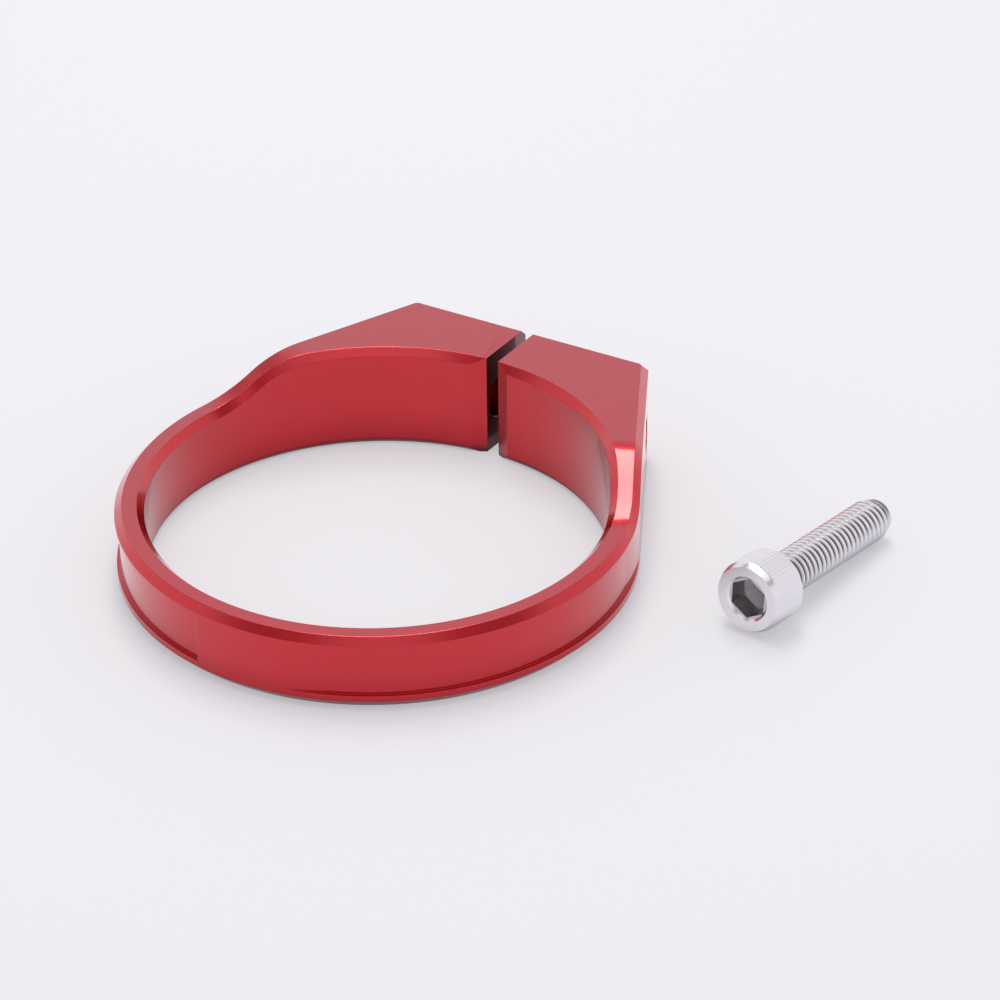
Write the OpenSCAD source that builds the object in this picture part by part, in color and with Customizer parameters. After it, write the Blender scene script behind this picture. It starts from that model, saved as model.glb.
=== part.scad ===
// A one-piece split ring that clamps on a steerer tube, with its socket-head cap screw
// taken out and laid on the bench beside it. Millimetres, +Z along the bore's axis.
// The clamp stands on z = 0 with the bore's axis on the Z axis and its slot towards +Y.

/* [Which piece] */

/* [Ring] */
// Diameter of the bore that takes the tube
bore_d = 62; // [52:1:80]
// Radial thickness of the ring's wall
wall = 4; // [3:0.25:6]
// Height of the low part of the ring
ring_height = 10.7; // [9:0.1:12.5]
// Width of the 45 degree chamfer on the top's edges
edge_chamfer = 1; // [0.5:0.1:1.3]
// Width of the chamfer under the outside's edges
foot_chamfer = 1.3; // [0.8:0.1:1.5]
// Width of the chamfer under the bore's edge
mouth_chamfer = 0.6; // [0.3:0.1:1.2]

/* [Band turned into the wall] */
// Depth of the shallow band
band_depth = 0.5; // [0.2:0.05:0.8]
// Height of the lip's upper edge above the floor
lip_height = 2.2; // [1.8:0.1:3]
// Height of the rim left between the band and the top chamfer
rim_height = 0.6; // [0.2:0.1:1]
// Width of the pad left standing opposite the slot
pad_width = 12.2; // [8:0.2:24]

/* [Ears] */
// Height of the ears
ear_height = 15; // [14.5:0.1:18]
// Distance from the bore's axis to the ears' back face, beyond the ring's outer radius
ear_reach = 6.9; // [6.6:0.1:9]
// Lean of each ear's side towards the slot
side_angle = 26; // [20:1:32]
// Size of the chamfer on the back's upright corners
corner_chamfer = 1.2; // [0.6:0.1:2]
// Radius of both arcs of the ramp from the low ring to the ears
ramp_radius = 16.3; // [12:0.1:20]
// Distance of the ramp's middle past the line where the ear's side leaves the ring
ramp_shift = 1.1; // [0:0.1:3]

/* [Slot and screw holes] */
// Width of the slot between the jaws
slot_width = 1.8; // [1:0.1:3]
// Lean of the slot off square, its inner end towards the screw head's jaw
slot_lean = 3.5; // [0:0.5:5]
// Width of the relief on each jaw where the slot meets the bore
relief_width = 2.1; // [1:0.1:3.5]
// Depth of that relief at the jaw's edge
relief_depth = 1; // [0.6:0.1:1.3]
// Clearance hole in the head's jaw
clearance_d = 6.4; // [6.2:0.1:7]
// Hole for the thread in the other jaw, at the thread's minor diameter
tapped_d = 5; // [4.8:0.1:5.3]
// Diameter of the pocket for the screw's head
pocket_d = 10.8; // [10.4:0.1:11.4]
// Distance of the pocket's floor from the slot's middle
seat_x = 11.5; // [11:0.1:13]
// Metal left between the clearance hole and the bore
hole_web = 1.4; // [1.2:0.1:1.8]

/* [Cap screw] */
// Outer diameter of the thread
thread_d = 5.9; // [5.7:0.05:6]
// Distance from one turn of the thread to the next
thread_pitch = 1; // [0.75:0.25:1]
// Length under the head
screw_length = 25; // [20:1:30]
// Diameter of the head
head_d = 10; // [9.8:0.1:10.2]
// Height of the head
head_height = 6; // [5.6:0.1:6]
// Width across the flats of the hexagon socket
socket_af = 5; // [5:0.05:5.2]
// Depth of the socket
socket_depth = 3.2; // [2.5:0.1:3.5]

/* [Where the screw lies] */
// Clear distance from the ring's outside to the screw's line
screw_gap = 16.7; // [12:0.1:30]
// Distance behind the bore's axis
screw_y = 13.7; // [0:0.1:30]
// Direction in which the tip points
screw_turn = 82.4; // [70:0.1:110]

/* [Hidden] */
$fn = 96;
anodised_red = [0.74, 0.12, 0.18];
plain_steel = [0.78, 0.77, 0.78];
// bore, outer wall and the flats' edges
bore_r = bore_d / 2;
outer_r = bore_r + wall;
back_y = outer_r + ear_reach;
hole_y = bore_r + hole_web + clearance_d / 2;
hole_z = ear_height / 2;
screw_x = outer_r + screw_gap;
// ramp: two equal arcs that meet halfway up
rise = ear_height - ring_height;
ramp_half = sqrt(ramp_radius * rise - rise * rise / 4);
ramp_start = ramp_shift - ramp_half;
ramp_end = ramp_shift + ramp_half;
over = 1;
ramp_step = 0.6;
turn_step = 2.5;
// turn near the slot at which the bore's chamfer tool crosses over to the other jaw
bore_last_turn = 89.6;
// the ears' sides lie a hair inside the tangent line, so that they cross the round wall cleanly
side_n = outer_r - 0.02;
side_from = sqrt(outer_r * outer_r - side_n * side_n);
// and their lower chamfer is a hair wider, so that it crosses the ring's one cleanly
under_chamfer = foot_chamfer + 0.02;
// distance of the slot's middle from the line of symmetry at a given y
function slot_offset(y) = (back_y - y) * tan(slot_lean);
// turn at which a circle of radius r reaches the ramp's distance u
function turn_at(r, u) = side_angle + asin(u / r);
// height of the top at distance u along an ear's side
function top_z(u) =
    u <= ramp_start ? ring_height
    : u >= ramp_end ? ear_height
    : u <= ramp_shift ? ring_height + ramp_radius - sqrt(pow(ramp_radius, 2) - pow(u - ramp_start, 2))
    : ear_height - ramp_radius + sqrt(pow(ramp_radius, 2) - pow(ramp_end - u, 2));
// a point of the right ear's frame (u along its side, n outwards) as x and y
function ear_xy(u, n) = [
    n * cos(side_angle) - u * sin(side_angle),
    n * sin(side_angle) + u * cos(side_angle)
];
// point of the outer wall's path, off millimetres inside it
function wall_xy(u, off) =
    u >= side_from ? ear_xy(u, side_n - off)
    : [(outer_r - off) * cos(turn_at(outer_r, u)), (outer_r - off) * sin(turn_at(outer_r, u))];
// point of the bore's path at the turn where radius bore_r meets distance u, off millimetres outside it
function bore_xy(u, off) = [
    (bore_r + off) * cos(turn_at(bore_r, u)),
    (bore_r + off) * sin(turn_at(bore_r, u))
];
// distance u of a point
function along(p) = -p[0] * sin(side_angle) + p[1] * cos(side_angle);
// corners of the right half of the ears' outline
side_end = (back_y - side_n * sin(side_angle)) / cos(side_angle);
side_last = ear_xy(side_end - corner_chamfer, side_n);
back_corner_x = ear_xy(side_end, side_n)[0];
back_first = [back_corner_x - corner_chamfer, back_y];
side_root = ear_xy(0, side_n);

// tool for one straight chamfer of the underside, from a to b with the metal on the left
module edge_tool(a, b) {
    d = b - a;
    c = under_chamfer;
    translate([a[0], a[1], 0])
        rotate([0, 0, atan2(d[1], d[0])])
        translate([-over, 0, 0])
        rotate([90, 0, 90])
        linear_extrude(norm(d) + 2 * over)
        polygon([[c + over, -over], [-over, -over], [-over, c + over]]);
}

// the five straight chamfers under the ears
module ear_edges() {
    edge_tool(side_root, side_last);
    edge_tool(side_last, back_first);
    edge_tool(back_first, [-back_first[0], back_first[1]]);
    edge_tool([-back_first[0], back_first[1]], [-side_last[0], side_last[1]]);
    edge_tool([-side_last[0], side_last[1]], [-side_root[0], side_root[1]]);
}

// the ears' block, from inside the ring's wall to the flat back
module ear_block() {
    difference() {
        linear_extrude(ear_height)
            polygon([
                side_root,
                side_last,
                back_first,
                [-back_first[0], back_first[1]],
                [-side_last[0], side_last[1]],
                [-side_root[0], side_root[1]]
            ]);
        ear_edges();
    }
}

// the ring with its lower chamfer, as high as the ears
module ring_block() {
    c = foot_chamfer;
    cylinder(h = c, r1 = outer_r - c, r2 = outer_r);
    translate([0, 0, c])
        cylinder(h = ear_height - c, r = outer_r);
}

// side view of what the ramp tool takes away: two arcs of the same radius
module ramp_profile() {
    r = ramp_radius;
    far = 3 * outer_r;
    translate([ramp_start - far, ring_height])
        square([far, rise + 2 * over]);
    intersection() {
        translate([ramp_start, ring_height + r])
            circle(r = r, $fn = 180);
        translate([ramp_start, ring_height - over])
            square([ramp_half, rise + 3 * over]);
    }
    difference() {
        translate([ramp_shift, ring_height + rise / 2 - over])
            square([ramp_half, rise / 2 + 3 * over]);
        translate([ramp_end, ear_height - r])
            circle(r = r, $fn = 180);
    }
}

// lowers one side of the ring, from the front up to the right ear
module ramp_tool() {
    rotate([0, 0, side_angle])
        rotate([90, 0, 90])
        translate([0, 0, -outer_r - over])
        linear_extrude(2 * (outer_r + over))
        ramp_profile();
}

// closed ring through three-cornered sections, the last one joined to the first
module ring_tool(rows) {
    n = len(rows);
    points = [for (row = rows) each row];
    polyhedron(
        points,
        [
            for (i = [0:n - 1])
                for (j = [0:2])
                    let (
                        k = (i + 1) % n,
                        p = 3 * i + j,
                        q = 3 * i + (j + 1) % 3,
                        r = 3 * k + (j + 1) % 3,
                        t = 3 * k + j
                    )
                    each [[p, q, r], [p, r, t]]
        ],
        convexity = 8
    );
}

// section of a top chamfer: from the wall's edge point to the top's edge point, grown past both
function chamfer_row(low, high) =
    let (g = 0.4, d = g * (low - high), a = low + d, b = high - d)
    [a, [a[0], a[1], b[2]], b];

// the section where the wall's edge is w and the top's edge is t, in plan
function top_row(w, t) = chamfer_row(
    [w[0], w[1], top_z(along(w)) - edge_chamfer],
    [t[0], t[1], top_z(along(t))]
);

function outer_row(u) = top_row(wall_xy(u, 0), wall_xy(u, edge_chamfer));
function bore_row(u) = top_row(bore_xy(u, 0), bore_xy(u, edge_chamfer));
function turned_row(r, off, turn) = top_row(
    [r * cos(turn), r * sin(turn)],
    [(r + off) * cos(turn), (r + off) * sin(turn)]
);

// section at a corner v of the outline, between edges that run towards d and e
function corner_row(v, d, e) =
    let (
        m = [d[1] / norm(d) + e[1] / norm(e), -d[0] / norm(d) - e[0] / norm(e)],
        k = 1 + d * e / (norm(d) * norm(e))
    )
    top_row(v, v - edge_chamfer * m / k);

// numbers from first to last in equal steps no larger than step
function spread(first, last, step) =
    let (n = ceil((last - first) / step))
    [for (i = [0:n]) first + (last - first) * i / n];

function without_ends(list) = [for (i = [1:len(list) - 2]) list[i]];

// the whole loop from its right half, which starts on the line of symmetry
function both_halves(rows) = concat(
    rows,
    [for (i = [len(rows) - 1:-1:1]) [for (p = rows[i]) [-p[0], p[1], p[2]]]]
);

// chamfer of the top's outer edge: round the front, up the ramp, along the ear's side to its corners
module outer_chamfer() {
    side_dir = ear_xy(1, 0);
    cut_dir = back_first - side_last;
    half = concat(
        [
            for (turn = spread(-90, turn_at(outer_r, ramp_start), turn_step))
                turned_row(outer_r, -edge_chamfer, turn)
        ],
        [for (u = without_ends(spread(ramp_start, ramp_end, ramp_step))) outer_row(u)],
        [outer_row(ramp_end)],
        [corner_row(side_last, side_dir, cut_dir)],
        [corner_row(back_first, cut_dir, [-1, 0])]
    );
    ring_tool(both_halves(half));
}

// chamfer of the top's inner edge, over the slot as well
module bore_chamfer() {
    half = concat(
        [
            for (turn = spread(-90, turn_at(bore_r, ramp_start), turn_step))
                turned_row(bore_r, edge_chamfer, turn)
        ],
        [for (u = without_ends(spread(ramp_start, ramp_end, ramp_step))) bore_row(u)],
        [
            for (turn = spread(turn_at(bore_r, ramp_end), bore_last_turn, turn_step))
                turned_row(bore_r, edge_chamfer, turn)
        ]
    );
    ring_tool([for (row = both_halves(half)) [row[0], row[2], row[1]]]);
}

// every chamfer of the top
module top_chamfers() {
    outer_chamfer();
    bore_chamfer();
}

// the shallow band with square shoulders, broken by the pad opposite the slot
module band_tool() {
    d = band_depth;
    low = lip_height;
    high = ring_height - edge_chamfer - rim_height;
    difference() {
        rotate_extrude($fn = 180)
            polygon([
                [outer_r + over, low],
                [outer_r - d, low],
                [outer_r - d, high],
                [outer_r + over, high]
            ]);
        // the pad, its ends sloping outwards to the band's floor
        translate([0, -outer_r, 0])
            linear_extrude(ear_height)
            polygon([
                [-pad_width / 2 + 2 * over, -2 * over],
                [pad_width / 2 - 2 * over, -2 * over],
                [pad_width / 2 + 4 * over, 4 * over],
                [-pad_width / 2 - 4 * over, 4 * over]
            ]);
        // nothing behind the tangent lines
        translate([-2 * outer_r, outer_r * sin(side_angle), -over])
            cube([4 * outer_r, 2 * outer_r, ear_height + 2 * over]);
    }
}

// slot between the jaws, opened out where it meets the bore
module slot_tool() {
    half = slot_width / 2;
    out = half + relief_width;
    mouth_y = sqrt(bore_r * bore_r - out * out);
    jaw_y = bore_r + relief_depth;
    // the saw's cut leans about the middle of the ears' back
    translate([0, back_y, -over])
        rotate([0, 0, -slot_lean])
        translate([-half, -back_y, 0])
        cube([slot_width, back_y + over, ear_height + 2 * over]);
    // the relief's flanks run on into the open bore and into the slot
    slope = (jaw_y - mouth_y) / relief_width;
    in_x = out + 0.3 * relief_width;
    in_y = jaw_y - (in_x - half) * slope;
    top_x = half / 2;
    top_y = jaw_y + (half - top_x) * slope;
    translate([-slot_offset(jaw_y), 0, -over])
        linear_extrude(ear_height + 2 * over)
        polygon([[-in_x, in_y], [in_x, in_y], [top_x, top_y], [-top_x, top_y]]);
}

// clearance hole and head pocket on the left, tapping hole on the right
module screw_holes() {
    translate([0, hole_y, hole_z])
        rotate([0, -90, 0]) {
            cylinder(h = outer_r, d = clearance_d);
            translate([0, 0, seat_x])
                cylinder(h = outer_r, d = pocket_d);
        }
    translate([0, hole_y, hole_z])
        rotate([0, 90, 0]) {
            cylinder(h = outer_r, d = tapped_d);
            translate([0, 0, slot_width / 2 - slot_offset(hole_y) - over])
                cylinder(h = over + 0.6, d1 = thread_d + 0.4 + 2 * over, d2 = tapped_d);
        }
}

module clamp_body() {
    color(anodised_red)
    difference() {
        union() {
            ring_block();
            ear_block();
        }
        translate([0, 0, -over])
            cylinder(h = ear_height + 2 * over, r = bore_r, $fn = 180);
        translate([0, 0, -over])
            cylinder(
                h = mouth_chamfer + over,
                r1 = bore_r + mouth_chamfer + over,
                r2 = bore_r,
                $fn = 180
            );
        ramp_tool();
        mirror([1, 0, 0])
            ramp_tool();
        top_chamfers();
        band_tool();
        slot_tool();
        screw_holes();
    }
}

// half section of the screw, the head's face at z = 0 and the tip at the top
module screw_section() {
    r = thread_d / 2;
    root = r - 0.58 * thread_pitch;
    first = head_height + 1;
    turns = floor((screw_length - 2.4) / thread_pitch);
    tip = head_height + screw_length;
    polygon(concat(
        [
            [0, 0],
            [head_d / 2 - 0.55, 0],
            [head_d / 2, 0.45],
            [head_d / 2, head_height - 0.15],
            [head_d / 2 - 0.15, head_height],
            [r + 0.05, head_height],
            [root + 0.1, head_height + 0.35],
            [root + 0.1, first]
        ],
        [
            for (i = [0:turns - 1])
                let (z = first + i * thread_pitch)
                each [
                    [r, z + 0.42 * thread_pitch],
                    [r, z + 0.54 * thread_pitch],
                    [root, z + 0.9 * thread_pitch],
                    [root, z + thread_pitch]
                ]
        ],
        [[r - 0.1, first + turns * thread_pitch + 0.4], [root, tip], [0, tip]]
    ));
}

module clamp_screw() {
    r = thread_d / 2;
    reach = 1 + floor((screw_length - 2.4) / thread_pitch) * thread_pitch - 0.46 * thread_pitch;
    tilt = atan2(head_d / 2 - r, reach + 0.15);
    corner_d = socket_af / cos(30);
    color(plain_steel)
    translate([screw_x, screw_y, 0])
        rotate([0, 0, screw_turn])
        rotate([0, 90 + tilt, 0])
        translate([-head_d / 2, 0, -head_height + 0.15])
        difference() {
            rotate_extrude($fn = 96)
                screw_section();
            translate([0, 0, -over])
                cylinder(h = socket_depth + over, d = corner_d, $fn = 6);
            translate([0, 0, socket_depth])
                cylinder(h = 1.3, d1 = socket_af - 0.1, d2 = 0.4);
            translate([0, 0, -over])
                cylinder(h = over + 0.35, d1 = corner_d + 0.7 + 2 * over, d2 = corner_d - 0.1);
        }
}

clamp_body();
clamp_screw();
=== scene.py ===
import math

import bmesh
import bpy
from mathutils import Matrix, Vector


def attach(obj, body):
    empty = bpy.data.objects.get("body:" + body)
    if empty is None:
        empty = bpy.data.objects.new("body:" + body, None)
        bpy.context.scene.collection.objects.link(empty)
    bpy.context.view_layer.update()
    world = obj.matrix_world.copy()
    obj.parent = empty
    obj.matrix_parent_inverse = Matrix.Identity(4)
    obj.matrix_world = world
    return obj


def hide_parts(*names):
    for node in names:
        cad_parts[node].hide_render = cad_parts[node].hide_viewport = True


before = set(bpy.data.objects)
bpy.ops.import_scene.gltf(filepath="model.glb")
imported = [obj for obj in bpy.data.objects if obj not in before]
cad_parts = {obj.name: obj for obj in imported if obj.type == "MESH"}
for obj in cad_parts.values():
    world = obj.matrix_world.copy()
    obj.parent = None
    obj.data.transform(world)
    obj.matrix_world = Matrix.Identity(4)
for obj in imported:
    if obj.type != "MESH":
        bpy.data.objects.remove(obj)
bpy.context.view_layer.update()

# Camera. A long lens looks down on the bench from in front and from the right of the clamp,
# as in the photograph. It is turned by half a degree about its own line of sight.
camera_turn, camera_height, camera_roll = (math.radians(a) for a in (29.951, 31.936, -0.573))
camera_aim = Vector((0.006332, 0.021714, 0.0))
camera_distance = 0.639177
camera_back = Vector((
    math.sin(camera_turn) * math.cos(camera_height),
    -math.cos(camera_turn) * math.cos(camera_height),
    math.sin(camera_height),
))
level_right = Vector((math.cos(camera_turn), math.sin(camera_turn), 0.0))
level_up = camera_back.cross(level_right)
camera_right = level_right * math.cos(camera_roll) + level_up * math.sin(camera_roll)
camera_up = level_up * math.cos(camera_roll) - level_right * math.sin(camera_roll)
camera_lens = bpy.data.cameras.new("camera")
camera_lens.sensor_width = 36.0
camera_lens.lens = 167.865
camera_lens.clip_start, camera_lens.clip_end = 0.02, 30.0
camera = bpy.data.objects.new("camera", camera_lens)
bpy.context.scene.collection.objects.link(camera)
camera.matrix_world = Matrix.Translation(camera_aim + camera_back * camera_distance) @ Matrix(
    (camera_right, camera_up, camera_back)
).transposed().to_4x4()
bpy.context.scene.camera = camera


# Clamp body. One piece of aluminium, bored and turned to a split ring with two taller ears,
# milled along two ramps, chamfered all round and anodised red. Lengths are in millimetres.
mm = 0.001
bore_r = 31.0
outer_r = 35.0
ring_height = 10.7
ear_height = 15.0
edge, foot_edge, mouth_edge = 1.0, 1.3, 0.6
band_depth = 0.5
band_low, band_high = 2.2, 9.1
pad_half, pad_slope = 10.95, 1.0
band_run_out = math.radians(14.0)
left_entry, right_entry = (1.0, 1.0), (0.25, math.radians(12.0))
top_line_along = 10.1
side_angle = math.radians(26.0)
side_dir = Vector((-math.sin(side_angle), math.cos(side_angle)))
side_out = Vector((math.cos(side_angle), math.sin(side_angle)))
back_y = 41.9
corner_cut = 0.6
ramp_radius = 16.3
ramp_middle = 1.1
ramp_rise = ear_height - ring_height
ramp_half = math.sqrt(ramp_radius * ramp_rise - ramp_rise * ramp_rise / 4)
ramp_start, ramp_end = ramp_middle - ramp_half, ramp_middle + ramp_half
slot_half, slot_lean = 0.9, math.radians(3.5)
relief_width, relief_y = 2.1, bore_r + 1.0
hole_y, hole_z = 35.6, 7.5
edge_break, corner_round = 0.035, 0.15
right, left = 1, -1


def top_height(point):
    """Height of the top over a point of the plan: low ring, ramp of two arcs, ear."""
    along = -abs(point.x) * math.sin(side_angle) + point.y * math.cos(side_angle)
    if along <= ramp_start:
        return ring_height
    if along >= ramp_end:
        return ear_height
    if along <= ramp_middle:
        return ring_height + ramp_radius - math.sqrt(ramp_radius**2 - (along - ramp_start) ** 2)
    return ear_height - ramp_radius + math.sqrt(ramp_radius**2 - (ramp_end - along) ** 2)


def on_circle(radius, turn):
    return Vector((radius * math.cos(turn), radius * math.sin(turn)))


def turn_at(radius, along):
    return side_angle + math.asin(along / radius)


def ring_wall(turn):
    """The outer wall at a turn about the bore, as a function of the distance inside it."""
    return lambda inside: on_circle(outer_r - inside, turn)


def ear_side(along):
    return lambda inside: side_out * (outer_r - inside) + side_dir * along


def ear_corner(corner, before, after, share):
    """A corner of the ears' outline with its edge broken, share of the way round."""
    middle = (before + after) / (1 + before.dot(after))
    facing = before.slerp(after, share)
    return lambda inside: corner - middle * (inside + corner_round) + facing * corner_round


def ear_back(x, hand):
    """The flat back, whose sections lean with the saw's cut on the given side of the slot."""
    return lambda inside: Vector((x - hand * inside * math.tan(slot_lean), back_y - inside))


def slot_offset(y):
    """Distance of the slot's middle from the line of symmetry, towards the left jaw."""
    return (back_y - y) * math.tan(slot_lean)


def relief(hand):
    """Both ends of the flat that opens the slot into the bore, on one jaw turned to the right."""
    jaw = Vector((slot_half - hand * slot_offset(relief_y), relief_y))
    run = Vector((relief_width, math.sqrt(bore_r**2 - (slot_half + relief_width) ** 2) - relief_y))
    half_sum = jaw.dot(run) / run.dot(run)
    share = -half_sum - math.sqrt(half_sum**2 - (jaw.dot(jaw) - bore_r**2) / run.dot(run))
    return jaw + run * share, jaw + Vector((edge_break, -edge_break / 2))


def section(outer, wall, depth):
    """The ring cut across at one place, from the bore's lower edge over the top and down.
    The bore's chamfers die out where a wall lies deeper than the bore."""
    high = max(0.0, bore_r + edge - wall.length)
    low = max(0.0, bore_r + mouth_edge - wall.length)
    outward = wall.normalized()
    rim, top, side = wall + outward * high, outer(edge), outer(0.0)
    corners = [
        (wall + outward * low, 0.0),
        (wall, low),
        (wall, top_height(wall) - high),
        (rim, top_height(rim)),
        (top, top_height(top)),
        (side, top_height(side) - edge),
        (side, band_high),
        (outer(depth), band_high),
        (outer(depth), band_low),
        (side, band_low),
        (side, foot_edge),
        (outer(foot_edge), 0.0),
    ]
    points = [Vector((p.x, p.y, z)) for p, z in corners]
    rounded = []
    for i, point in enumerate(points):
        ends = []
        for other in (points[i - 1], points[(i + 1) % len(points)]):
            gap = other - point
            ends.append(point + gap * min(0.35, edge_break / max(gap.length, 1e-6)))
        rounded += [ends[0], point * 0.5 + (ends[0] + ends[1]) * 0.25, ends[1]]
    return rounded


def spread(first, last, step):
    count = max(1, math.ceil(abs(last - first) / step))
    return [first + (last - first) * i / count for i in range(count + 1)]


# half of the low ring and its ramp, from the middle of the front round to the ear
front = -math.pi / 2
pad_end = front + math.radians(pad_half)
band_start = front + math.radians(pad_half + pad_slope)
outer_turns = (
    spread(front, pad_end, math.radians(1.3))
    + spread(pad_end, band_start, math.radians(0.7))[1:]
    + spread(band_start, turn_at(outer_r, ramp_start), math.radians(1.3))[1:]
)
reach = (turn_at(bore_r, ramp_start) - front) / (turn_at(outer_r, ramp_start) - front)


def half_ring(first_step, run_in):
    """Sections from the front's middle to the ear. Past its first step, given as a share of the
    whole depth, the sunk band deepens over the turn run_in."""
    half = []
    for turn in outer_turns:
        sunk = min(1.0, max(0.0, (turn - pad_end) / (band_start - pad_end)))
        sunk *= min(1.0, max(0.0, first_step + (turn - band_start) / run_in))
        wall = on_circle(bore_r, front + (turn - front) * reach)
        run_out = min(1.0, max(0.0, (turn_at(outer_r, 0.0) - turn) / band_run_out))
        half.append(section(ring_wall(turn), wall, band_depth * min(sunk, run_out)))
    for along in spread(ramp_start, ramp_end, 0.3)[1:]:
        outer = ring_wall(turn_at(outer_r, along)) if along < 0 else ear_side(along)
        wall = on_circle(bore_r, turn_at(bore_r, along))
        run_out = min(1.0, max(0.0, -along / outer_r / band_run_out))
        half.append(section(outer, wall, band_depth * run_out))
    return half


side_end = (back_y - outer_r * math.sin(side_angle)) / math.cos(side_angle)
side_last = side_out * outer_r + side_dir * (side_end - corner_cut)
back_first = Vector(((side_out * outer_r + side_dir * side_end).x - corner_cut, back_y))
cut_dir = (back_first - side_last).normalized()
cut_out = Vector((cut_dir.y, -cut_dir.x))
back_out = Vector((0.0, 1.0))
plain_side_end = 15.5


def ear(hand):
    """Sections of one ear, turned to the right, from the top of its ramp to the slot."""
    mouth, jaw = relief(hand)
    outline = (
        [ear_side(along) for along in spread(ramp_end, plain_side_end, 1.1)[1:]]
        + [ear_corner(side_last, side_out, cut_out, i / 3) for i in range(4)]
        + [ear_corner(back_first, cut_out, back_out, i / 3) for i in range(4)]
        + [ear_back(x, hand) for x in spread(back_first.x - 1.0, slot_half + edge_break, 1.5)]
    )
    mouth_turn = math.atan2(mouth.y, mouth.x)
    walls = [on_circle(bore_r, turn) for turn in spread(turn_at(bore_r, ramp_end), mouth_turn, 0.04)[1:]]
    walls += [mouth.lerp(jaw, share) for share in spread(0.0, 1.0, 0.2)[1:]]
    extra = max(0, len(outline) - len(walls))
    return [
        section(outline[min(i, len(outline) - 1)], walls[max(0, i - extra)], 0.0)
        for i in range(max(len(outline), len(walls)))
    ]


ring_mesh = bmesh.new()
left_half = [[Vector((-p.x, p.y, p.z)) for p in row] for row in half_ring(*left_entry)[1:] + ear(left)]
rows = left_half[::-1] + half_ring(*right_entry) + ear(right)
loops = [[ring_mesh.verts.new(p * mm) for p in row] for row in rows]
for near, far in zip(loops, loops[1:]):
    for i in range(len(near)):
        k = (i + 1) % len(near)
        ring_mesh.faces.new((near[i], near[k], far[k], far[i]))
jaws = [ring_mesh.faces.new(loops[0]), ring_mesh.faces.new(reversed(loops[-1]))]
bmesh.ops.remove_doubles(ring_mesh, verts=ring_mesh.verts, dist=1e-7)
bmesh.ops.recalc_face_normals(ring_mesh, faces=ring_mesh.faces)
for inwards, outwards in ((0.3, 0.7), (0.7, 0.3)):
    bmesh.ops.inset_region(
        ring_mesh,
        faces=[f for f in jaws if f.is_valid],
        thickness=inwards * edge_break * mm,
        depth=outwards * edge_break * mm,
    )
for vert in ring_mesh.verts:
    vert.co.z = min(max(vert.co.z, 0.0), ear_height * mm)
clamp_mesh = bpy.data.meshes.new("clamp")
ring_mesh.to_mesh(clamp_mesh)
ring_mesh.free()
clamp = bpy.data.objects.new("clamp", clamp_mesh)
bpy.context.scene.collection.objects.link(clamp)


class Wire:
    """An output of a node. Sums and products of wires add Math nodes to the same tree."""

    def __init__(self, tree, socket=None):
        self.tree, self.socket = tree, socket

    def node(self, kind, settings=None, inputs=None, output=0):
        made = self.tree.nodes.new(kind)
        for name, value in (settings or {}).items():
            setattr(made, name, value)
        for name, value in (inputs or {}).items():
            if isinstance(value, Wire):
                self.tree.links.new(value.socket, made.inputs[name])
            else:
                made.inputs[name].default_value = value
        return Wire(self.tree, made.outputs[output]) if made.outputs else None

    def beside(self, output):
        """Another output of the same node."""
        return Wire(self.tree, self.socket.node.outputs[output])

    def maths(self, operation, *values):
        return self.node("ShaderNodeMath", {"operation": operation}, dict(enumerate(values)))

    def smooth(self, start, end, first=0.0, last=1.0):
        """A soft step from the first value to the last as this one goes from start to end."""
        return self.node("ShaderNodeMapRange", {"interpolation_type": "SMOOTHSTEP"}, {
            "Value": self, "From Min": start, "From Max": end, "To Min": first, "To Max": last,
        })

    def blend(self, first, last):
        """Two colours mixed, with this as the second one's share."""
        return self.node("ShaderNodeMix", {"data_type": "RGBA"}, {0: self, 6: first, 7: last}, output=2)

    def __add__(self, other):
        return self.maths("ADD", self, other)

    def __radd__(self, other):
        return self.maths("ADD", other, self)

    def __sub__(self, other):
        return self.maths("SUBTRACT", self, other)

    def __rsub__(self, other):
        return self.maths("SUBTRACT", other, self)

    def __mul__(self, other):
        return self.maths("MULTIPLY", self, other)

    def __rmul__(self, other):
        return self.maths("MULTIPLY", other, self)

    def __truediv__(self, other):
        return self.maths("DIVIDE", self, other)


def new_tree(name, sizes):
    """A geometry tree with named number inputs, and its input wires by name."""
    tree = bpy.data.node_groups.new(name, "GeometryNodeTree")
    for size, kind in sizes.items():
        tree.interface.new_socket(size, in_out="INPUT", socket_type=kind)
    tree.interface.new_socket("Geometry", in_out="OUTPUT", socket_type="NodeSocketGeometry")
    entry = tree.nodes.new("NodeGroupInput")
    wires = {size: Wire(tree, entry.outputs[size]) for size in sizes}
    return tree, wires


def wrap(tree, grid, material, radius, turn_angle, height):
    """Rolls a flat grid round an axis to the given radius and height at each of its points, joins
    its seam and sends it out of the tree in its material."""
    spot = radius.node("ShaderNodeCombineXYZ", inputs={
        0: radius * radius.maths("COSINE", turn_angle),
        1: radius * radius.maths("SINE", turn_angle),
        2: height,
    })
    moved = grid.node("GeometryNodeSetPosition", inputs={"Geometry": grid, "Position": spot})
    joined = grid.node("GeometryNodeMergeByDistance", inputs={"Geometry": moved, "Distance": 1e-4})
    real = grid.node("GeometryNodeRealizeInstances", inputs={"Geometry": joined})
    painted = grid.node("GeometryNodeSetMaterial", inputs={"Geometry": real, "Material": material})
    tree.links.new(painted.socket, tree.nodes.new("NodeGroupOutput").inputs[0])


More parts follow.
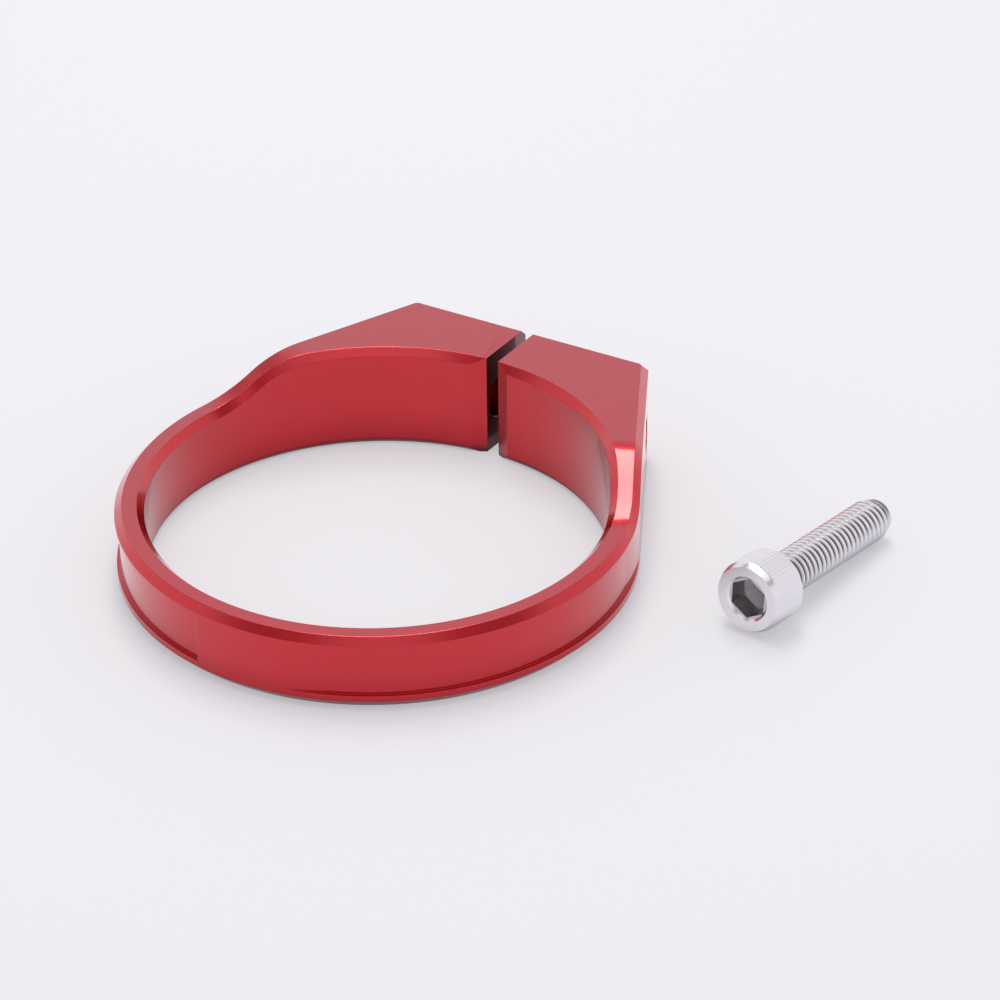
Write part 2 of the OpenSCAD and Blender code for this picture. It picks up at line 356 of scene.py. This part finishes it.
def grow(name, tree, values):
    """Runs a geometry tree with the given sizes and returns its result as a plain mesh."""
    carrier = bpy.data.objects.new(name, bpy.data.meshes.new(name))
    bpy.context.scene.collection.objects.link(carrier)
    modifier = carrier.modifiers.new("shape", "NODES")
    modifier.node_group = tree
    for item in tree.interface.items_tree:
        if item.in_out == "INPUT" and item.name in values:
            modifier[item.identifier] = values[item.name]
    solved = carrier.evaluated_get(bpy.context.evaluated_depsgraph_get())
    mesh = bpy.data.meshes.new_from_object(solved)
    bpy.data.objects.remove(carrier)
    return mesh


def close_ends(mesh, placing):
    """Caps the open ends of a grown rod, points its faces outwards and puts it in place."""
    shape = bmesh.new()
    shape.from_mesh(mesh)
    bmesh.ops.remove_doubles(shape, verts=shape.verts, dist=1e-4)
    bmesh.ops.holes_fill(shape, edges=[e for e in shape.edges if e.is_boundary], sides=0)
    bmesh.ops.transform(shape, matrix=placing, verts=shape.verts)
    bmesh.ops.recalc_face_normals(shape, faces=shape.faces)
    shape.to_mesh(mesh)
    shape.free()
    return mesh


# the thread's tree: rows of points climb one pitch in each turn, so that its crest stays sharp
thread_tree, size = new_tree("thread", {
    "Crest radius": "NodeSocketFloat",
    "Root radius": "NodeSocketFloat",
    "Pitch": "NodeSocketFloat",
    "Start": "NodeSocketFloat",
    "End": "NodeSocketFloat",
    "Start radius": "NodeSocketFloat",
    "End radius": "NodeSocketFloat",
    "End taper": "NodeSocketFloat",
    "Material": "NodeSocketMaterial",
})
rows_a_turn = 12
tool = size["Pitch"]
travel = size["End"] - size["Start"] + 2 * size["Pitch"]
row_count = tool.node(
    "ShaderNodeMath", {"operation": "CEIL"}, {0: travel / size["Pitch"]}
) * rows_a_turn
grid = tool.node(
    "GeometryNodeMeshGrid",
    inputs={"Size X": 1.0, "Size Y": 1.0, "Vertices X": 97, "Vertices Y": row_count + 1},
)
place = tool.node("GeometryNodeInputPosition")
split = place.node("ShaderNodeSeparateXYZ", inputs={0: place})
turn_share = split + 0.5
row = split.beside(1) + 0.5
row_turn = row * row_count / rows_a_turn
height = size["Start"] + size["Pitch"] * (row_turn + turn_share - 1.5)
height = height.maths("MINIMUM", height.maths("MAXIMUM", height, size["Start"]), size["End"])
phase = tool.maths("ABSOLUTE", tool.maths("FRACT", row_turn) * 2 - 1)
groove_half, crest_start = 0.18, 0.86
crest = phase.smooth(groove_half, crest_start)
radius = size["Root radius"] + (size["Crest radius"] - size["Root radius"]) * crest
radius = tool.maths("MINIMUM", radius, size["End radius"] + (size["End"] - height) * size["End taper"])
start_taper = 1.1
radius = tool.maths("MINIMUM", radius, size["Start radius"] + (height - size["Start"]) * start_taper)
wrap(thread_tree, grid, size["Material"], radius, turn_share * (2 * math.pi), height)


def turned(name, outline, placing, sides=128):
    """A turned solid: its outline as (height, radius) from one end of the axis to the other."""
    shape = bmesh.new()
    rings = []
    for z, r in outline:
        count = 1 if r < 1e-6 else sides
        rings.append([
            shape.verts.new((r * math.cos(2 * math.pi * i / sides), r * math.sin(2 * math.pi * i / sides), z))
            for i in range(count)
        ])
    for low, high in zip(rings, rings[1:]):
        for i in range(sides):
            k = (i + 1) % sides
            corners = [low[i % len(low)], low[k % len(low)], high[k % len(high)], high[i % len(high)]]
            shape.faces.new(list(dict.fromkeys(corners)))
    bmesh.ops.transform(shape, matrix=placing, verts=shape.verts)
    bmesh.ops.recalc_face_normals(shape, faces=shape.faces)
    mesh = bpy.data.meshes.new(name)
    shape.to_mesh(mesh)
    shape.free()
    return mesh


def cut(target, tools, operation="DIFFERENCE"):
    """Takes tool meshes away from an object, or joins them to it, and keeps the plain result."""
    for tool_mesh in tools:
        cutter = bpy.data.objects.new("cutter", tool_mesh)
        bpy.context.scene.collection.objects.link(cutter)
        modifier = target.modifiers.new("cut", "BOOLEAN")
        modifier.operation, modifier.object, modifier.solver = operation, cutter, "MANIFOLD"
        solved = target.evaluated_get(bpy.context.evaluated_depsgraph_get())
        mesh = bpy.data.meshes.new_from_object(solved)
        target.modifiers.remove(modifier)
        target.data = mesh
        bpy.data.objects.remove(cutter)


# the screw's way through the jaws: pocket and clearance hole on the left, thread on the right
to_metres = Matrix.Scale(mm, 4)
left_jaw = to_metres @ Matrix.Translation((0, hole_y, hole_z)) @ Matrix.Rotation(-math.pi / 2, 4, "Y")
right_jaw = to_metres @ Matrix.Translation((0, hole_y, hole_z)) @ Matrix.Rotation(math.pi / 2, 4, "Y")
seat_depth, hole_r, pocket_r = 11.5, 3.2, 5.4
left_face, right_face = slot_half + slot_offset(hole_y), slot_half - slot_offset(hole_y)
pocket = turned("pocket", [
    (0.0, 0.0), (0.0, hole_r), (seat_depth - 0.2, hole_r), (seat_depth, hole_r + 0.2),
    (seat_depth, pocket_r), (32.0, pocket_r), (32.0, 0.0),
], left_jaw)
hole_break = turned(
    "hole_break", [(-0.5, 0.0), (-0.5, hole_r + 0.5), (0.05, hole_r), (0.15, 0.0)],
    left_jaw @ Matrix.Translation((0, 0, left_face)) @ Matrix.Rotation(-slot_lean, 4, "X"),
)
tapping = close_ends(grow("tapping", thread_tree, {
    "Crest radius": 3.05, "Root radius": 2.5, "Pitch": 1.0, "Start": 0.0, "End": 30.0,
    "Start radius": 2.2, "End radius": 2.2, "End taper": 1.1,
}), right_jaw)
lead_in = turned("lead_in", [
    (right_face - 0.5, 0.0), (right_face - 0.5, 3.65), (right_face + 0.6, 2.55), (right_face + 0.7, 0.0),
], right_jaw)
cut(clamp, [pocket, hole_break, tapping, lead_in])
clamp.data.name = "clamp"

# red anodising: a saturated metal under a clear hard film, with fine marks from the lathe
anodised = bpy.data.materials.new("red_anodised")
anodised.use_nodes = True
anodised.node_tree.nodes.clear()
coords = Wire(anodised.node_tree).node("ShaderNodeTexCoord", output=3)
axes = coords.node("ShaderNodeSeparateXYZ", inputs={0: coords})
across, deep, tall = (axes.beside(i) for i in range(3))
from_axis = across.maths("SQRT", across * across + deep * deep)
lathe_lines = coords.node("ShaderNodeTexNoise", {"noise_dimensions": "2D"}, {
    "Vector": coords.node("ShaderNodeCombineXYZ", inputs={0: from_axis, 1: tall}),
    "Scale": 9000.0, "Detail": 2.0, "Roughness": 0.6,
})
grain = coords.node("ShaderNodeTexNoise", inputs={"Vector": coords, "Scale": 5200.0, "Detail": 3.0})
cloud = coords.node("ShaderNodeTexNoise", inputs={"Vector": coords, "Scale": 90.0, "Detail": 2.0})
specks = coords.node("ShaderNodeTexVoronoi", inputs={"Vector": coords, "Scale": 1500.0})
pits = coords.node(
    "ShaderNodeMapRange",
    inputs={"Value": specks, "From Min": 0.04, "From Max": 0.12, "To Min": 1.0, "To Max": 0.0},
)
red_shade = (cloud * 0.5 + grain * 0.3).blend((0.485, 0.003, 0.010, 1.0), (0.585, 0.006, 0.018, 1.0))
# painted shade: the level faces are painted a darker, paler red by how far they face up
facing = coords.node("ShaderNodeAttribute", {"attribute_name": "upward"}, output=2)
level_face_shade = facing.smooth(0.985, 0.998)
red_shade = level_face_shade.blend(red_shade, (0.42, 0.01, 0.024, 1.0))
# painted shade: the lowest edges darken towards the bench
painted_foot_shade = tall.smooth(0.3 * mm, foot_edge * mm, 0.9, 0.0)
# a thin dark line is drawn across the ears' level tops, a little past the tops of the ramps
along_ear = deep * math.cos(side_angle) - coords.maths("ABSOLUTE", across) * math.sin(side_angle)
from_top_line = coords.maths("ABSOLUTE", along_ear - top_line_along * mm)
dark_top_line = from_top_line.smooth(0.02 * mm, 0.1 * mm, 0.3, 0.0)
red_shade = (painted_foot_shade + dark_top_line * level_face_shade).blend(red_shade, (0.10, 0.0, 0.004, 1.0))
# painted shade: the slot's walls are painted dark brown, and made rougher where the saw cut them
slot_middle = (deep - back_y * mm) * math.tan(slot_lean)
from_slot = coords.maths("ABSOLUTE", across - slot_middle)
in_slot = from_slot.smooth((slot_half + 0.005) * mm, (slot_half + 0.02) * mm, 0.85, 0.0)
sawn_and_shaded = in_slot * coords.maths("GREATER_THAN", deep, 0.0) * (1 - level_face_shade)
red_shade = sawn_and_shaded.blend(red_shade, (0.10, 0.02, 0.03, 1.0))
fine_marks = coords.node("ShaderNodeBump", inputs={
    "Height": lathe_lines * 0.6 + grain * 0.4 - pits * 1.5, "Strength": 0.12, "Distance": 0.00003,
})
film = coords.node("ShaderNodeBsdfPrincipled", inputs={
    "Base Color": red_shade,
    "Metallic": 1.0,
    "Roughness": 0.19 + grain * 0.06 + cloud * 0.04 + sawn_and_shaded * 0.2,
    "Coat Weight": 1.0,
    "Coat Roughness": 0.1,
    "Coat IOR": 1.5,
    "Normal": fine_marks,
})
coords.node("ShaderNodeOutputMaterial", inputs={"Surface": film})

clamp.data.materials.clear()
clamp.data.materials.append(anodised)
clamp.data.shade_smooth()
clamp.data.set_sharp_from_angle(angle=math.radians(7))
# how far each corner of the mesh faces up, which picks the level faces for their painted shade
upward = clamp.data.attributes.new("upward", "FLOAT", "CORNER")
upward.data.foreach_set("value", [normal.vector.z for normal in clamp.data.corner_normals])
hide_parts("clamp_body")
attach(clamp, "root")


# Cap screw. One piece of stainless steel with a headed and knurled blank, a broached hexagon
# and a rolled thread. It lies on its head's rim and on the last turn of its thread.
thread_r, root_r, pitch = 2.95, 2.37, 1.0
shank_length, head_r, head_height = 25.0, 4.96, 6.0
socket_r, socket_depth = 5.0 / math.cos(math.radians(30)) / 2, 3.2
last_crest = 1 + math.floor(shank_length - 2.4) - 0.46
rim_round = 0.15
screw_tilt = math.atan2(head_r - thread_r, last_crest + rim_round)
screw_spot, screw_turn = (51.655, 13.7, 0.015), math.radians(82.4)
screw_place = (
    Matrix.Translation(screw_spot)
    @ Matrix.Rotation(screw_turn, 4, "Z")
    @ Matrix.Rotation(math.pi / 2 + screw_tilt, 4, "Y")
    @ Matrix.Translation((-head_r, 0.0, -head_height + rim_round))
)
screw_metres = to_metres @ screw_place

steel = bpy.data.materials.new("plain_steel")
steel.use_nodes = True
steel.node_tree.nodes.clear()
coords = Wire(steel.node_tree).node("ShaderNodeTexCoord", output=3)
scuffs = coords.node("ShaderNodeTexNoise", inputs={"Vector": coords, "Scale": 3200.0, "Detail": 4.0})
haze = coords.node("ShaderNodeTexNoise", inputs={"Vector": coords, "Scale": 260.0, "Detail": 2.0})
steel_shade = haze.blend((0.71, 0.705, 0.73, 1.0), (0.79, 0.78, 0.80, 1.0))
# painted shade: the socket's walls are painted dark, and the thread's roots darker, more on the upper side,
# and a little rougher
face_middle = screw_metres @ Vector((0.0, 0.0, 0.0))
axis = (screw_metres.to_3x3() @ Vector((0.0, 0.0, 1.0))).normalized()
offset = coords.node("ShaderNodeVectorMath", {"operation": "SUBTRACT"}, {0: coords, 1: face_middle})
depth_in = offset.node(
    "ShaderNodeVectorMath", {"operation": "DOT_PRODUCT"}, {0: offset, 1: axis}, output=1
) / mm
reach_out = offset.node("ShaderNodeVectorMath", {"operation": "LENGTH"}, {0: offset}, output=1) / mm
across_squared = reach_out * reach_out - depth_in * depth_in
off_axis = depth_in.maths("SQRT", depth_in.maths("MAXIMUM", across_squared, 0.0))
height_up = coords.node("ShaderNodeSeparateXYZ", inputs={0: coords}, output=2) / mm
in_socket = depth_in.smooth(0.2, 0.45) * (1 - depth_in.smooth(4.4, 4.6))
painted_socket_shade = in_socket * (1 - off_axis.smooth(2.9, 3.0))
on_thread = depth_in.smooth(head_height, head_height + 0.3)
# painted shade in the thread's roots, darker on the upper side of the lying screw
painted_root_shade = on_thread * (1 - off_axis.smooth(2.5, 2.9)) * height_up.smooth(3.2, 4.8, 0.15, 1.0)
steel_shade = (painted_socket_shade * 0.66 + painted_root_shade).blend(steel_shade, (0.2, 0.185, 0.18, 1.0))
steel_relief = coords.node("ShaderNodeBump", inputs={
    "Height": scuffs, "Strength": 0.02, "Distance": 0.00002,
})
steel_skin = coords.node("ShaderNodeBsdfPrincipled", inputs={
    "Base Color": steel_shade,
    "Metallic": 1.0,
    "Roughness": 0.22 + haze * 0.06 + painted_root_shade * 0.06,
    "Normal": steel_relief,
})
coords.node("ShaderNodeOutputMaterial", inputs={"Surface": steel_skin})

# the head's tree: fine straight knurls round its side, turned down at the face and underneath
knurl_tree, size = new_tree("knurl", {
    "Head radius": "NodeSocketFloat",
    "Head height": "NodeSocketFloat",
    "Groove depth": "NodeSocketFloat",
    "Grooves": "NodeSocketInt",
    "Face radius": "NodeSocketFloat",
    "Round height": "NodeSocketFloat",
    "Material": "NodeSocketMaterial",
})
tool = size["Head radius"]
grid = tool.node("GeometryNodeMeshGrid", inputs={
    "Size X": 1.0, "Size Y": 1.0, "Vertices X": size["Grooves"] * 6 + 1, "Vertices Y": 61,
})
place = tool.node("GeometryNodeInputPosition")
split = place.node("ShaderNodeSeparateXYZ", inputs={0: place})
turn_angle = (split + 0.5) * (2 * math.pi)
height = (split.beside(1) + 0.5) * size["Head height"]
groove = 0.5 - 0.5 * tool.maths("COSINE", turn_angle * size["Grooves"])
radius = size["Head radius"] - size["Groove depth"] * groove
lower = 1 - tool.maths("MINIMUM", height / size["Round height"], 1.0)
rounding = 1 - lower * lower * 0.45 - lower * 0.55
face_round = size["Face radius"] + (size["Head radius"] - size["Face radius"]) * rounding
radius = tool.maths("MINIMUM", radius, face_round)
radius = tool.maths("MINIMUM", radius, size["Head radius"] - rim_round + (size["Head height"] - height))
wrap(knurl_tree, grid, size["Material"], radius, turn_angle, height)

head_mesh = close_ends(grow("screw", knurl_tree, {
    "Head radius": head_r, "Head height": head_height, "Groove depth": 0.055, "Grooves": 60,
    "Face radius": 4.5, "Round height": 1.0, "Material": steel,
}), screw_metres)
shank_mesh = close_ends(grow("shank", thread_tree, {
    "Crest radius": thread_r, "Root radius": root_r, "Pitch": pitch, "Start": head_height - 1.0,
    "End": head_height + shank_length, "Start radius": root_r, "End radius": root_r, "End taper": 0.3,
    "Material": steel,
}), screw_metres)
hexagon = turned("hexagon", [
    (-1.0, 0.0), (-1.0, socket_r), (socket_depth, socket_r), (socket_depth, 0.0),
], screw_metres, sides=6)
socket_cone = turned("socket_cone", [
    (-1.0, 0.0), (-1.0, socket_r + 1.3), (0.35, socket_r - 0.05), (0.36, 0.0),
], screw_metres, sides=96)
drill_cone = turned("drill_cone", [
    (socket_depth - 0.1, 0.0), (socket_depth - 0.1, 2.45), (socket_depth, 2.45), (socket_depth + 1.3, 0.0),
], screw_metres, sides=96)
screw = bpy.data.objects.new("screw", head_mesh)
bpy.context.scene.collection.objects.link(screw)
cut(screw, [hexagon, socket_cone, drill_cone])
cut(screw, [shank_mesh], "UNION")
screw.data.name = "screw"
screw.data.materials.clear()
screw.data.materials.append(steel)
screw.data.shade_smooth()
screw.data.set_sharp_from_angle(angle=math.radians(32))
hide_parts("clamp_screw")
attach(screw, "root")


# Bench and studio. A pale matt bench, one large soft lamp above and behind, and pale walls
# round about, with the dark part of the room above the camera.
bench_mesh = bpy.data.meshes.new("bench")
bench_shape = bmesh.new()
bmesh.ops.create_circle(bench_shape, cap_ends=True, segments=96, radius=3.0)
bmesh.ops.translate(bench_shape, vec=(0.0, 0.0, -0.02 * mm), verts=bench_shape.verts)
bench_shape.to_mesh(bench_mesh)
bench_shape.free()
bench = bpy.data.objects.new("bench", bench_mesh)
bpy.context.scene.collection.objects.link(bench)
paper = bpy.data.materials.new("bench_paper")
paper.use_nodes = True
paper.node_tree.nodes.clear()
paper_skin = Wire(paper.node_tree).node("ShaderNodeBsdfPrincipled", inputs={
    "Base Color": (0.72, 0.725, 0.78, 1.0), "Roughness": 0.9, "Specular IOR Level": 0.1,
})
paper_glow = paper_skin.node("ShaderNodeEmission", inputs={
    "Color": (0.975, 0.972, 1.0, 1.0), "Strength": 0.79,
})
seen = paper_skin.node("ShaderNodeLightPath")
mirrored = seen.beside(3)
paper_mix = paper_skin.node("ShaderNodeMixShader", inputs={
    0: seen * 0.5 + mirrored * 0.08, 1: paper_skin, 2: paper_glow,
})
paper_skin.node("ShaderNodeOutputMaterial", inputs={"Surface": paper_mix})
bench.data.materials.append(paper)

lamp_data = bpy.data.lights.new("soft_lamp", "AREA")
lamp_data.shape = "RECTANGLE"
lamp_data.size, lamp_data.size_y = 0.15, 0.56
lamp_data.energy = 2.25
lamp_data.color = (1.0, 0.99, 0.86)
lamp = bpy.data.objects.new("soft_lamp", lamp_data)
bpy.context.scene.collection.objects.link(lamp)
lamp_distance = 0.64
lamp_dir = Vector((-0.145, 0.24, 0.96)).normalized()
lamp_long = Vector((-0.52, 0.854, 0.0)).cross(lamp_dir).cross(lamp_dir).normalized()
lamp_side = lamp_long.cross(lamp_dir).normalized()
lamp.matrix_world = Matrix.Translation(lamp_dir * lamp_distance) @ Matrix(
    (lamp_side, lamp_long, lamp_side.cross(lamp_long))
).transposed().to_4x4()

room = bpy.data.worlds.new("studio")
bpy.context.scene.world = room
room.use_nodes = True
room.node_tree.nodes.clear()
sight = Wire(room.node_tree).node("ShaderNodeTexCoord", output=0)
up = sight.node("ShaderNodeSeparateXYZ", inputs={0: sight}, output=2)
room_light = up.smooth(0.61, 0.72, 1.02, 0.33) + up.smooth(0.79, 0.84, 0.0, 0.85)
shown = sight.node("ShaderNodeLightPath")
strength = room_light + (0.9 - room_light) * shown
glow = sight.node("ShaderNodeBackground", inputs={"Color": (0.99, 0.955, 1.0, 1.0), "Strength": strength})
sight.node("ShaderNodeOutputWorld", inputs={"Surface": glow})
bpy.context.scene.view_settings.view_transform = "Standard"
